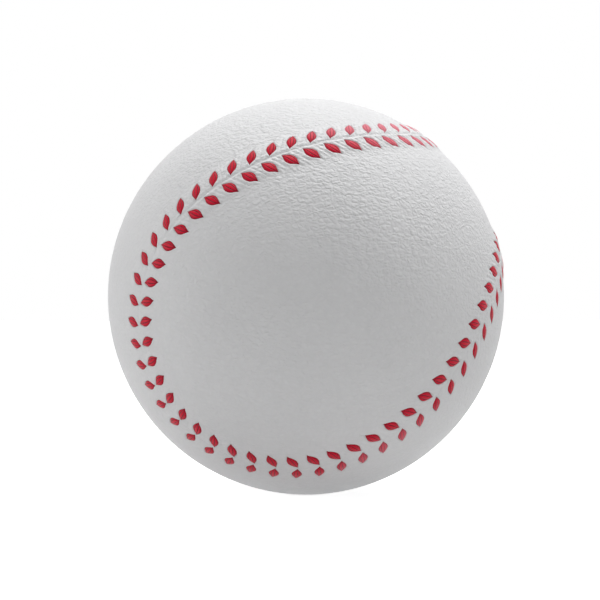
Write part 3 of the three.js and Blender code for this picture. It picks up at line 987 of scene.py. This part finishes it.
def inward_rows(seam, cover, side, rim, radius):
    """Rows from a panel's rim in to the spine along its middle, all on one radius."""
    bands = cover.rows_to_spine
    waist = np.array([0.0, 0.0, float(side)])
    lengthwise = np.array([1.0, -float(side), 0.0]) / math.sqrt(2.0)
    angle = np.arctan2(rim @ lengthwise, rim @ waist)
    angle = np.clip(angle, -cover.lobe_centre, cover.lobe_centre)
    step = 2.0 * cover.lobe_centre / SPINE_STEPS
    rows = []
    for band in range(1, bands + 1):
        if band == bands:
            angle = np.round((angle + cover.lobe_centre) / step) * step - cover.lobe_centre
        spine = np.cos(angle)[:, None] * waist + np.sin(angle)[:, None] * lengthwise
        point = rim / np.linalg.norm(rim, axis=-1, keepdims=True)
        point = point + (spine - point) * (band / bands)
        rows.append(point / np.linalg.norm(point, axis=-1, keepdims=True) * radius)
    return rows


def add_panel(name, seam, row, cover):
    """One leather panel: a fine strip beside the seam, a coarser middle, and its thinner underside."""
    stitches = row.stitches
    fine = np.arange(stitches.per_row * cover.columns_per_stitch) / cover.columns_per_stitch
    coarse = np.arange(stitches.per_row * cover.coarse_per_stitch) / cover.coarse_per_stitch
    half_gap = cover.seam_gap / 2.0
    reach = cover.relief_reach

    def seam_row(count, across, radius):
        along = row.along(count) + row.slide(count, min(across, reach)) / seam.length
        distance = np.full(count.shape, row.side * across)
        return seam.place(along, distance, np.broadcast_to(radius, count.shape))

    near = []
    shares = np.linspace(0.0, 1.0, cover.rows_beside_seam) ** ROW_CROWDING
    for across in half_gap + (reach - half_gap) * shares:
        height = leather_relief(row, cover, fine, across)
        near.append(seam_row(fine, across, cover.ball_radius + height))
    rim = seam_row(coarse, reach + JOINING_WIDTH, cover.ball_radius)
    middle = [rim] + inward_rows(seam, cover, row.side, rim, cover.ball_radius)
    roof = np.linspace(half_gap, cover.channel_edge, ROOF_ROWS)
    under = [seam_row(coarse, across, cover.channel_roof) for across in roof]
    under.append(seam_row(coarse, cover.channel_edge + cover.channel_slope, cover.leather_inside))
    under += inward_rows(seam, cover, row.side, under[-1], cover.leather_inside)

    strips = []
    for label, rows in (("near", near), ("middle", middle), ("under", under)):
        strips.append(add_strip(label, seam.lay(np.array(rows))))
    for strip in strips:
        merge_doubles(strip)
    deselect_all()
    for strip in strips:
        strip.select_set(True)
    bpy.context.view_layer.objects.active = strips[0]
    bpy.ops.object.join()
    panel = name_piece(bpy.context.object, name)
    bridge(panel, "near_last_row", "middle_first_row")
    bridge(panel, "near_first_row", "under_first_row")
    panel.vertex_groups.clear()
    close_and_smooth(panel, crease=math.radians(55))
    return panel


# A leg is a little wider than its hole's outline, and its tip is blunt by this share of its width.
LEG_OVERLAP = 1.04
LEG_TIP = 0.05


def leg_sections(row):
    """The rings of one leg, in order: distance along it, half width, and height of its top."""
    stitches = row.stitches
    half_length = stitches.leg_length / 2.0
    half_width = LEG_OVERLAP * row.leg_width / 2.0
    rings = []
    for share, top in LEG_TOPS:
        width = half_width * max(half_width_share(stitches, share), LEG_TIP)
        rings.append((share * half_length, width, top * stitches.leg_rise))
    return [(-place, width, top) for place, width, top in rings] + rings[-2::-1]


def ring_angles():
    """Places round a ring: evenly over its top, where the strands show, and fewer below."""
    over = np.linspace(0.0, 180.0, TOP_POINTS)
    below = np.linspace(180.0, 360.0, RING_POINTS - TOP_POINTS + 2)[1:-1]
    return np.radians(np.concatenate([over, below]))


def add_thread(name, seam, row, cover):
    """One row's thread, up through the leather as a leg and back under it to the next stitch."""
    stitches = row.stitches
    count = np.arange(stitches.per_row, dtype=float)
    angles = ring_angles()
    leg_along = np.cos(row.lean(count))[:, None]
    leg_across = np.sin(row.lean(count))[:, None]
    strength = pull_strength(row, cover, count, stitches.row_middle)[:, None]

    def lay_ring(shift, across, level):
        along = row.along(count)[:, None] + shift / seam.length
        shape = (len(count), len(angles))
        across, level = np.broadcast_to(across, shape), np.broadcast_to(level, shape)
        return seam.place(np.broadcast_to(along, shape), row.side * (stitches.row_middle + across), level)

    def leg_ring(lengthwise, half_width, top):
        sidewise = half_width * np.cos(angles)
        shift = lengthwise * leg_along - sidewise * leg_across
        across = lengthwise * leg_across + sidewise * leg_along
        bottom = -stitches.leg_floor
        level = (bottom + top) / 2.0 + (top - bottom) / 2.0 * np.sin(angles)
        level = level + cover.ball_radius + band_rise(cover, strength, stitches.row_middle + across)
        return lay_ring(shift, across, level)

    def return_ring(lengthwise):
        level = stitches.return_radius + stitches.return_depth / 2.0 * np.sin(angles)
        across = lengthwise * leg_across + stitches.return_width / 2.0 * np.cos(angles)
        return lay_ring(lengthwise * leg_along, across, level)

    dip = stitches.leg_length / 2.0 - stitches.return_inset
    legs = [leg_ring(*section) for section in leg_sections(row)]
    rings = [return_ring(-dip)] + legs + [return_ring(dip)]
    run = np.stack(rings, axis=1).reshape(-1, len(angles), 3)
    sides = np.concatenate([run, run[:, :1]], axis=1)
    thread = add_strip(name, seam.lay(np.swapaxes(sides, 0, 1)))
    thread.vertex_groups.clear()

    chart = thread.data.uv_layers.active
    chart.name = "thread_run"
    spots = np.empty(len(chart.data) * 2)
    chart.data.foreach_get("uv", spots)
    spots = spots.reshape(-1, 2)
    spots[:, 0] *= stitches.per_row
    chart.data.foreach_set("uv", spots.ravel())
    close_and_smooth(thread, crease=math.radians(80))
    return thread


class BASEBALL_OT_add_cork(Operator):
    """Adds the cork centre, a ball of pressed cork granules"""

    bl_idname = "baseball.add_cork"
    bl_label = "Add Cork"
    bl_options = {"REGISTER", "UNDO"}

    def execute(self, context):
        finish = context.scene.baseball_finishes
        cork = add_cork(context.scene.baseball_core)
        hand_over(cork, cork_material(finish), "cork", "cork_centre")
        return {"FINISHED"}


class BASEBALL_OT_add_cups(Operator):
    """Adds the two black rubber cups and the two red ones over them"""

    bl_idname = "baseball.add_cups"
    bl_label = "Add Rubber Cups"
    bl_options = {"REGISTER", "UNDO"}

    def execute(self, context):
        sizes = context.scene.baseball_core
        finish = context.scene.baseball_finishes
        layers = [
            ("inner", sizes.inner_cup_radius, inner_wall(sizes), sizes.inner_rim, "black_rubber"),
            ("outer", sizes.outer_cup_radius, outer_wall(sizes), sizes.outer_rim, "red_rubber"),
        ]
        for layer, radius, wall, rim, slot in layers:
            rubber = rubber_material(slot, getattr(finish, slot))
            for half in ("upper", "lower"):
                node = f"{layer}_rubber_cup_{half}"
                cup = add_cup(node + "_fine", radius, wall, rim, sizes.rim_bevel, half == "upper")
                hand_over(cup, rubber, slot, node)
        return {"FINISHED"}


class BASEBALL_OT_add_washer(Operator):
    """Adds the red rubber washer that closes the joint of the two black cups"""

    bl_idname = "baseball.add_washer"
    bl_label = "Add Rubber Washer"
    bl_options = {"REGISTER", "UNDO"}

    def execute(self, context):
        sizes = context.scene.baseball_core
        red = rubber_material("red_rubber_washer", context.scene.baseball_finishes.red_rubber)
        hand_over(add_washer(sizes, inner_wall(sizes)), red, "red_rubber", "rubber_gasket")
        return {"FINISHED"}


class BASEBALL_OT_add_windings(Operator):
    """Adds the four wound layers of yarn over the pill"""

    bl_idname = "baseball.add_windings"
    bl_label = "Add Windings"
    bl_options = {"REGISTER", "UNDO"}

    def execute(self, context):
        sizes = context.scene.baseball_core
        finish = context.scene.baseball_finishes
        layers = [
            ("first_winding", finish.grey_wool, finish.thick_yarn, "grey_wool"),
            ("second_winding", finish.white_wool, finish.medium_yarn, "white_wool"),
            ("third_winding", finish.grey_wool, finish.medium_yarn, "grey_wool"),
            ("finish_winding", finish.finish_yarn, finish.fine_yarn, "finish_yarn"),
        ]
        below = sizes.outer_cup_radius
        for node, base, yarn, slot in layers:
            radius = pole_radius(node)
            depth = radius - below - sizes.layer_gap
            layer = add_winding(node + "_fine", radius, depth, sizes.lead_hole_radius, sizes.lead_hole_bevel)
            hand_over(layer, yarn_material(node + "_yarn", base, yarn, radius), slot, node)
            below = radius
        return {"FINISHED"}


class BASEBALL_OT_add_cover(Operator):
    """Adds the two leather panels with their raised edges, puckers and grain"""

    bl_idname = "baseball.add_cover"
    bl_label = "Add Cover"
    bl_options = {"REGISTER", "UNDO"}

    def execute(self, context):
        cover = context.scene.baseball_cover
        seam = Seam(cover)
        leather = leather_material(context.scene.baseball_finishes, cover.pull_side)
        for node, side in (("cover_panel_a", 1), ("cover_panel_b", -1)):
            row = StitchRow(seam, context.scene.baseball_stitches, side)
            panel = add_panel(node + "_fine", seam, row, cover)
            hand_over(panel, leather, "cover_leather", node)
        return {"FINISHED"}


class BASEBALL_OT_add_stitches(Operator):
    """Adds the two rows of red thread"""

    bl_idname = "baseball.add_stitches"
    bl_label = "Add Stitches"
    bl_options = {"REGISTER", "UNDO"}

    def execute(self, context):
        cover = context.scene.baseball_cover
        seam = Seam(cover)
        red = thread_material(context.scene.baseball_finishes)
        for node, side in (("stitch_thread_a", 1), ("stitch_thread_b", -1)):
            row = StitchRow(seam, context.scene.baseball_stitches, side)
            thread = add_thread(node + "_fine", seam, row, cover)
            hand_over(thread, red, "red_thread", node)
        return {"FINISHED"}


def seen_directly(tree):
    """1 for what the camera sees, also in gloss or through glass, and 0 for light on its way elsewhere."""
    path = add_node(tree, "ShaderNodeLightPath")
    seen = calculate(tree, "MAXIMUM", path.outputs["Is Camera Ray"], path.outputs["Is Glossy Ray"])
    return calculate(tree, "MAXIMUM", seen, path.outputs["Is Transmission Ray"])


def floor_material(stage):
    """A pale floor, which the camera sees as near white outside the ball's shadow."""
    material, tree, shader = new_material("floor")
    speckle_size = 8.0 * MM
    speckle_tint = darker(stage.floor_colour, (0.985, 0.985, 0.985))
    speckle = noise(tree, object_place(tree), speckle_size).outputs["Fac"]
    feed(tree, shader, "Base Color", blend_colours(tree, speckle, opaque(stage.floor_colour), speckle_tint))
    shader.inputs["Roughness"].default_value = 0.95
    shader.inputs["Specular IOR Level"].default_value = 0.1
    shader.inputs["Emission Color"].default_value = (1.0, 1.0, 1.0, 1.0)
    outward = vector_measure(tree, "LENGTH", object_place(tree))
    glow = rescale(tree, outward, 0.1, 0.6, stage.floor_glow, 1.0)
    feed(tree, shader, "Emission Strength", times(tree, seen_directly(tree), glow))
    return material


def light_surroundings(stage):
    """A world that lights softly from all round and that the camera sees as white."""
    world = bpy.data.worlds.new("surroundings")
    world.use_nodes = True
    tree = world.node_tree
    tree.nodes.clear()
    strength = blend_values(tree, seen_directly(tree), stage.ambient, 1.0)
    sky = add_node(tree, "ShaderNodeBackground", {}, {"Color": (1.0, 1.0, 1.0, 1.0), "Strength": strength})
    add_node(tree, "ShaderNodeOutputWorld", {}, {"Surface": sky.outputs[0]})
    bpy.context.scene.world = world


# Each square lamp's name, its place and its width in metres, and the setting that holds its power.
LAMPS = (
    ("lamp_top", (0.02, 0.12, 0.62), 0.5, "top_power"),
    ("lamp_right", (0.35, 0.05, 0.45), 0.4, "right_power"),
    ("lamp_left", (-0.58, 0.02, 0.10), 0.45, "left_power"),
    ("lamp_low", (0.0, -0.60, -0.02), 0.3, "low_power"),
)
TABLE_LIGHT_RISE = 0.2 * MM


def add_lamp(name, place, width, power):
    """A square soft lamp that faces the ball."""
    deselect_all()
    facing = (-Vector(place)).to_track_quat("-Z", "Y").to_euler()
    bpy.ops.object.light_add(type="AREA", location=place, rotation=facing)
    lamp = bpy.context.object
    lamp.name = name
    lamp.data.shape = "SQUARE"
    lamp.data.size = width
    lamp.data.energy = power
    lamp.visible_camera = False
    return lamp


def add_camera(stage):
    bpy.ops.object.camera_add(location=(0, -stage.camera_distance, 0), rotation=(math.pi / 2, 0, 0))
    camera = bpy.context.object
    camera.name = "portrait_camera"
    camera.data.lens = stage.lens
    camera.data.shift_x = stage.shift_x
    camera.data.shift_y = stage.shift_y
    camera.data.clip_start = 10.0 * MM
    return camera


class BASEBALL_OT_add_stage(Operator):
    """Adds the pale floor, the soft lamps and the camera at the photograph's angle"""

    bl_idname = "baseball.add_stage"
    bl_label = "Add Stage"
    bl_options = {"REGISTER", "UNDO"}

    def execute(self, context):
        stage = context.scene.baseball_stage
        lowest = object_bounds()[0].z
        deselect_all()
        bpy.ops.mesh.primitive_plane_add(size=stage.floor_width, location=(0, 0, lowest))
        floor = name_piece(context.object, "floor")
        floor.data.materials.append(floor_material(stage))
        floor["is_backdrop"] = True
        light_surroundings(stage)
        for name, place, width, power in LAMPS:
            add_lamp(name, place, width, getattr(stage, power))
        under = (0.0, 0.0, lowest + TABLE_LIGHT_RISE)
        table = add_lamp("lamp_table", under, stage.table_width, stage.table_power)
        table.data.shape = "DISK"
        context.scene.camera = add_camera(stage)
        context.scene.view_settings.view_transform = "Standard"
        return {"FINISHED"}


class BASEBALL_PT_builder(Panel):
    """Lists the operators that build the ball, from the inside out"""

    bl_idname = "BASEBALL_PT_builder"
    bl_label = "Baseball"
    bl_space_type = "VIEW_3D"
    bl_region_type = "UI"
    bl_category = "Baseball"

    def draw(self, context):
        for operator in OPERATORS:
            self.layout.operator(operator.bl_idname)


SETTINGS = {
    "baseball_core": CoreSizes,
    "baseball_cover": CoverSizes,
    "baseball_stitches": StitchSizes,
    "baseball_finishes": Finishes,
    "baseball_stage": StageSizes,
}
OPERATORS = (
    BASEBALL_OT_add_cork,
    BASEBALL_OT_add_cups,
    BASEBALL_OT_add_washer,
    BASEBALL_OT_add_windings,
    BASEBALL_OT_add_cover,
    BASEBALL_OT_add_stitches,
    BASEBALL_OT_add_stage,
)


def register():
    for settings in SETTINGS.values():
        bpy.utils.register_class(settings)
    for operator in OPERATORS:
        bpy.utils.register_class(operator)
    bpy.utils.register_class(BASEBALL_PT_builder)
    for name, settings in SETTINGS.items():
        setattr(bpy.types.Scene, name, PointerProperty(type=settings))


def unregister():
    for name in SETTINGS:
        delattr(bpy.types.Scene, name)
    bpy.utils.unregister_class(BASEBALL_PT_builder)
    for operator in reversed(OPERATORS):
        bpy.utils.unregister_class(operator)
    for settings in reversed(list(SETTINGS.values())):
        bpy.utils.unregister_class(settings)


def main():
    register()
    bpy.ops.baseball.add_cork()
    bpy.ops.baseball.add_cups()
    bpy.ops.baseball.add_washer()
    bpy.ops.baseball.add_windings()
    bpy.ops.baseball.add_cover()
    bpy.ops.baseball.add_stitches()
    bpy.ops.baseball.add_stage()


if __name__ == "__main__":
    main()
